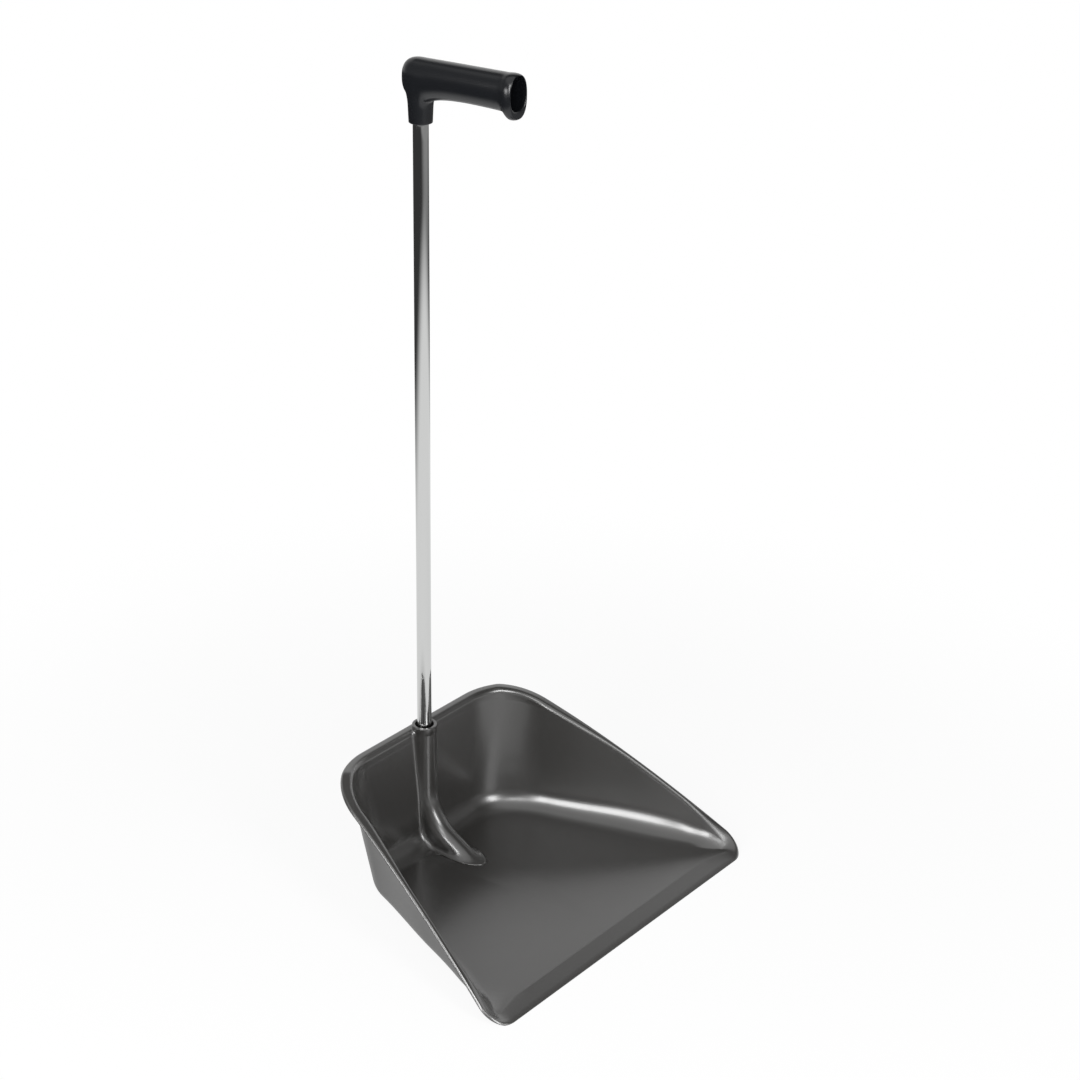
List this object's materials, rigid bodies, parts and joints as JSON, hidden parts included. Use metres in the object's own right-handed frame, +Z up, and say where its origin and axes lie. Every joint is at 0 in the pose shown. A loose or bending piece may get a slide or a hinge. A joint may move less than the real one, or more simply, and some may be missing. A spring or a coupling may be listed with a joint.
{
  "type": "lobby dustpan",
  "caption": "Upright dustpan: deep flared scoop with a flanged rim and a thin lip, a straight bright tube standing in a socket at its back, and a hollow pistol grip on top.",
  "frame": {"origin": "middle of the footprint, on the ground under the pan", "axes": "+Z up along the tube, -Y from the handle to the lip, X across the lip"},
  "size_m": [0.379, 0.2769, 0.7966],
  "materials": {
    "pan_plastic": "satin graphite",
    "tube_chrome": "bright",
    "grip_plastic": "glossy black"
  },
  "bodies": {
    "pan": {"pan": "pan_plastic"},
    "handle": {"handle_tube": "tube_chrome", "grip": "grip_plastic"}
  },
  "joints": [
    {"name": "handle_pull", "type": "slide", "parent": "pan", "child": "handle", "axis": [0, 0, 1], "range_m": [0, 0.112]}
  ]
}
